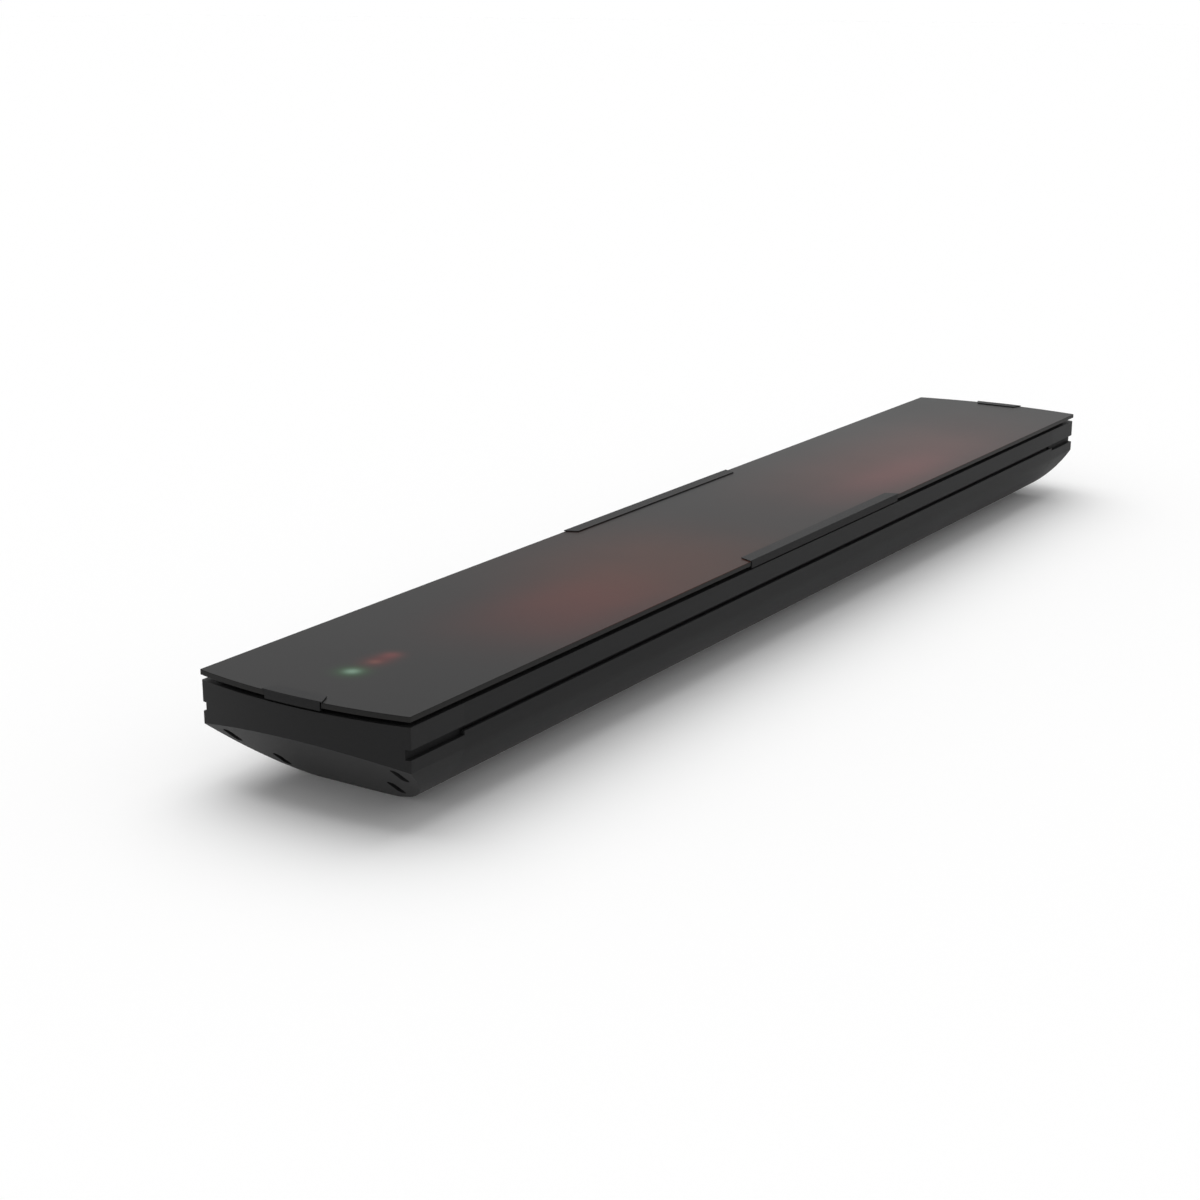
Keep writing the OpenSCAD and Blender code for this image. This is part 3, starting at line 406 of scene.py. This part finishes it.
glows_and_reflection = [  # centre, reach, squareness and unevenness of each soft patch, and its colour
    ((left_zone + 0.103, -0.03), (0.112, 0.098), 2.4, 0.4, (0.0367, 0.0058, 0.0)),
    ((left_zone - 0.042, -0.038), (0.093, 0.06), 2.5, 0.4, (0.0418, 0.0022, 0.0)),
    ((right_zone - 0.006, -0.029), (0.199, 0.081), 2.6, 0.4, (0.0405, 0.0069, 0.0042)),
    ((right_zone - 0.071, -0.052), (0.12, 0.03), 2.4, 0.4, (0.0327, 0.0074, 0.009)),
    # painted reflection: a broad pale patch over the right half of the glass, not glow from inside
    ((right_zone + 0.073, 0.04), (0.23, 0.245), 1.9, 0.0, (0.0164, 0.018, 0.018)),
    ((green_x, 0.0), (0.0055, 0.0055), 2.0, 0.0, (0.125, 0.17, 0.15)),
    ((green_x, 0.0), (0.0105, 0.0105), 2.0, 0.0, (0.0, 0.05, 0.004)),
    ((red_near, 0.0), (0.0045, 0.0045), 2.0, 0.0, (0.05, 0.022, 0.014)),
    ((red_far, 0.0), (0.007, 0.007), 2.0, 0.0, (0.068, 0.011, 0.01)),
    ((red_between - 0.005, 0.0), (0.0145, 0.0095), 2.0, 0.0, (0.058, 0.0, 0.0)),
]
light_sum = None
for centre, reach, squareness, unevenness, colour in glows_and_reflection:
    patch = glass_tree.nodes.new("ShaderNodeGroup")
    patch.node_tree = patch_mask_group
    patch.inputs["Centre"].default_value = (*centre, 0.0)
    patch.inputs["Reach"].default_value = (*reach, 1.0)
    patch.inputs["Squareness"].default_value = squareness
    patch.inputs["Unevenness"].default_value = unevenness
    tint = glass_tree.nodes.new("ShaderNodeVectorMath")
    tint.operation = "SCALE"
    tint.inputs[0].default_value = colour
    glass_tree.links.new(patch.outputs["Mask"], tint.inputs["Scale"])
    if light_sum is None:
        light_sum = tint
    else:
        together = glass_tree.nodes.new("ShaderNodeVectorMath")
        together.operation = "ADD"
        glass_tree.links.new(light_sum.outputs[0], together.inputs[0])
        glass_tree.links.new(tint.outputs[0], together.inputs[1])
        light_sum = together
# glow through the glass together with the painted reflection, on the top face only
glow_and_reflection_on_face = glass_tree.nodes.new("ShaderNodeVectorMath")
glow_and_reflection_on_face.operation = "SCALE"
glass_tree.links.new(light_sum.outputs[0], glow_and_reflection_on_face.inputs[0])
glass_tree.links.new(face_share.outputs["Result"], glow_and_reflection_on_face.inputs["Scale"])
glass_tree.links.new(glow_and_reflection_on_face.outputs[0], glass_shader.inputs["Emission Color"])
glass_shader.inputs["Emission Strength"].default_value = 1.0
glass = rounded_copy("front_glass", "glass_front", radius=0.0004, steps=2)
glass.data.materials.append(dark_glass)

# Glass clips
# Coated metal strips that stand on the rim and fill the notches of the glass: a long one on each
# side and a short one on each end. A thin lip of each lies over the edge and holds the glass.
clip_coat = powder_coat(
    "clip_coat", 1400.0, (0.028, 0.028, 0.0285), (0.033, 0.033, 0.0335), 0.42, 0.5, 0.02
)
for node in ("side_clip_near", "side_clip_far", "end_clip_left", "end_clip_right"):
    clip = rounded_copy(f"{node}_strip", node, radius=0.0003, steps=2)
    clip.data.materials.append(clip_coat)

# Seal
# A matt black silicone strip that lies on the rim and carries the glass all round.
seal_black, seal_shader = finish("seal_black", roughness=0.8, specular=0.3)
seal_pattern = lay_pattern(seal_black, powder_paint, 2200.0)
spread(
    seal_black, seal_shader, seal_pattern.outputs["Tone"],
    (0.004, 0.004, 0.004), (0.008, 0.008, 0.008), 0.75, 0.9,
)
raise_grain(seal_black, seal_shader, seal_pattern.outputs["Height"], strength=0.3, depth=0.0002)


def paint(material, *names):
    for name in names:
        for slot in nodes[name].material_slots:
            slot.material = material


paint(seal_black, "glass_gasket")


# Trays, shields and plates
# Mill finish aluminium, with the fine lines that rolling leaves along the length. The trays and
# the bridge are screwed down, and the bracket hangs from the rim of the left cap.
def rolled_pattern():
    drawn_out, stain_part = (0.02, 1.0, 1.0), 0.4
    group = bpy.data.node_groups.new("rolled_sheet", "ShaderNodeTree")
    group.interface.new_socket("Fineness", in_out="INPUT", socket_type="NodeSocketFloat")
    group.interface.new_socket("Height", in_out="OUTPUT", socket_type="NodeSocketFloat")
    group.interface.new_socket("Tone", in_out="OUTPUT", socket_type="NodeSocketFloat")
    made, links = group.nodes, group.links
    inlet, outlet = made.new("NodeGroupInput"), made.new("NodeGroupOutput")
    place = made.new("ShaderNodeTexCoord")
    drawn = made.new("ShaderNodeMapping")
    drawn.inputs["Scale"].default_value = drawn_out
    links.new(place.outputs["Object"], drawn.inputs["Vector"])
    lines = made.new("ShaderNodeTexNoise")
    lines.inputs["Detail"].default_value = 3.0
    links.new(drawn.outputs["Vector"], lines.inputs["Vector"])
    links.new(inlet.outputs["Fineness"], lines.inputs["Scale"])
    stain = made.new("ShaderNodeTexNoise")
    stain.inputs["Scale"].default_value = 16.0
    links.new(place.outputs["Object"], stain.inputs["Vector"])
    tone = made.new("ShaderNodeMix")
    tone.data_type = "FLOAT"
    tone.inputs["Factor"].default_value = stain_part
    links.new(lines.outputs["Fac"], tone.inputs["A"])
    links.new(stain.outputs["Fac"], tone.inputs["B"])
    links.new(lines.outputs["Fac"], outlet.inputs["Height"])
    links.new(tone.outputs["Result"], outlet.inputs["Tone"])
    return group


def sheet_metal(name, fineness, dark, light, rough_low, rough_high):
    made, shader = finish(name, rough_low, metallic=1.0)
    laid = lay_pattern(made, rolled_sheet, fineness)
    spread(made, shader, laid.outputs["Tone"], dark, light, rough_low, rough_high)
    raise_grain(made, shader, laid.outputs["Height"], strength=0.15, depth=0.0001)
    return made


rolled_sheet = rolled_pattern()
tray_sheet = sheet_metal("tray_sheet", 700.0, (0.52, 0.51, 0.49), (0.66, 0.65, 0.63), 0.32, 0.5)
plate_sheet = sheet_metal("plate_sheet", 900.0, (0.58, 0.58, 0.59), (0.7, 0.7, 0.71), 0.28, 0.44)
sink_metal = sheet_metal("sink_metal", 1500.0, (0.48, 0.48, 0.5), (0.6, 0.6, 0.62), 0.4, 0.55)
paint(tray_sheet, "element_tray_left", "element_tray_right")
paint(
    plate_sheet, "heat_shield_left", "heat_shield_right", "centre_bridge", "power_plate",
    "indicator_bracket",
)
paint(sink_metal, "heat_sink")

# Screws and studs
# Plain steel screws, and brass studs and earth screw, with faint lines left by machining.
steel_screw = sheet_metal("steel_screw", 2600.0, (0.32, 0.32, 0.31), (0.46, 0.46, 0.45), 0.3, 0.45)
turned_brass = sheet_metal("turned_brass", 2600.0, (0.5, 0.34, 0.12), (0.68, 0.5, 0.21), 0.25, 0.42)
paint(
    steel_screw, "clip_screws", "cap_screws_left", "cap_screws_right", "tray_screws",
    "bridge_screws",
)
paint(turned_brass, "terminal_studs", "earth_screw")


# Insulation and ceramics
# Pressed mineral board with a recess for each ribbon, and the pad under the glass of the same
# board. The terminals are fired steatite.
def matt_body(name, grain, dark, light, rough_low, rough_high, strength, depth):
    made, shader = finish(name, rough_low, specular=0.4)
    laid = lay_pattern(made, powder_paint, grain)
    spread(made, shader, laid.outputs["Tone"], dark, light, rough_low, rough_high)
    raise_grain(made, shader, laid.outputs["Height"], strength, depth)
    return made


mineral_board = matt_body(
    "mineral_board", 500.0, (0.66, 0.62, 0.52), (0.82, 0.79, 0.7), 0.85, 0.98, 0.6, 0.0006
)
steatite = matt_body(
    "steatite", 900.0, (0.76, 0.74, 0.67), (0.86, 0.85, 0.79), 0.35, 0.5, 0.15, 0.0002
)
paint(mineral_board, "insulation_left", "insulation_right", "glass_pad")
paint(steatite, "terminals_left", "terminals_right", "supply_terminal")


# Heating ribbons
# Flat resistance ribbon that lies in the recess of the board in straight runs joined by half
# rings. It is stained by heat and glows dull red.
def light_up(material, shader, colour, strength):
    material.node_tree.links.new(colour.outputs["Result"], shader.inputs["Emission Color"])
    shader.inputs["Emission Strength"].default_value = strength


hot_ribbon, ribbon_shader = finish("hot_ribbon", roughness=0.5, metallic=0.6)
ribbon_pattern = lay_pattern(hot_ribbon, rolled_sheet, 900.0)
ribbon_colour = spread(
    hot_ribbon, ribbon_shader, ribbon_pattern.outputs["Tone"],
    (0.22, 0.05, 0.02), (0.42, 0.12, 0.05), 0.45, 0.65,
)
raise_grain(
    hot_ribbon, ribbon_shader, ribbon_pattern.outputs["Height"], strength=0.2, depth=0.0002
)
light_up(hot_ribbon, ribbon_shader, ribbon_colour, strength=1.6)
paint(hot_ribbon, "heating_element_left", "heating_element_right")

# Electronics
# Green laminate boards with a pair of blue relays, a capacitor in a dark sleeve and green
# connectors. The cut-outs, wire saddles and receiver are moulded black.
board_laminate = matt_body(
    "board_laminate", 1800.0, (0.015, 0.12, 0.055), (0.03, 0.2, 0.09), 0.35, 0.5, 0.1, 0.0001
)
relay_blue = matt_body(
    "relay_blue", 1500.0, (0.03, 0.06, 0.19), (0.045, 0.085, 0.25), 0.3, 0.42, 0.1, 0.0001
)
can_sleeve = matt_body(
    "can_sleeve", 1700.0, (0.02, 0.03, 0.07), (0.035, 0.05, 0.11), 0.28, 0.38, 0.08, 0.0001
)
socket_green = matt_body(
    "socket_green", 1600.0, (0.03, 0.2, 0.09), (0.05, 0.28, 0.13), 0.4, 0.5, 0.1, 0.0001
)
moulded_black = matt_body(
    "moulded_black", 1300.0, (0.012, 0.012, 0.012), (0.022, 0.022, 0.022), 0.45, 0.6, 0.25, 0.0002
)
paint(board_laminate, "power_board", "indicator_board")
paint(relay_blue, "relays")
paint(can_sleeve, "capacitor")
paint(socket_green, "board_connectors")
paint(
    moulded_black, "thermal_cutout_left", "thermal_cutout_right", "wire_saddles",
    "remote_receiver",
)

# Wiring
# Silicone-sleeved supply and signal wires, held along the back by saddles, and element leads in
# braided glass sleeve.
brown_sleeve = matt_body(
    "brown_sleeve", 1400.0, (0.1, 0.04, 0.018), (0.16, 0.07, 0.03), 0.45, 0.6, 0.15, 0.0001
)
white_sleeve = matt_body(
    "white_sleeve", 1400.0, (0.66, 0.66, 0.63), (0.78, 0.78, 0.75), 0.45, 0.6, 0.15, 0.0001
)
glass_braid = matt_body(
    "glass_braid", 2400.0, (0.5, 0.45, 0.36), (0.72, 0.68, 0.58), 0.8, 0.95, 0.7, 0.0004
)
paint(brown_sleeve, "supply_wires")
paint(white_sleeve, "signal_wires")
paint(glass_braid, "element_leads")


# Status lamps
# Tinted lenses with round tops that end just under the glass, one green and two red. They are
# lit from inside.
def lit_lens(name, dark, light):
    made, shader = finish(name, roughness=0.2)
    laid = lay_pattern(made, powder_paint, 500.0)
    colour = spread(made, shader, laid.outputs["Tone"], dark, light, 0.15, 0.25)
    light_up(made, shader, colour, strength=1.5)
    return made


paint(lit_lens("green_lens", (0.04, 0.55, 0.14), (0.1, 0.8, 0.25)), "indicator_green")
paint(lit_lens("red_lens", (0.6, 0.03, 0.02), (0.85, 0.07, 0.04)), "indicator_red")

# Cable gland
# Moulded black nylon gland, nut and locknut in the sloping underside of the right cap.
gland_nylon = matt_body(
    "gland_nylon", 1100.0, (0.01, 0.01, 0.01), (0.02, 0.02, 0.02), 0.4, 0.55, 0.2, 0.0002
)
paint(gland_nylon, "cable_gland", "gland_nut", "gland_locknut")
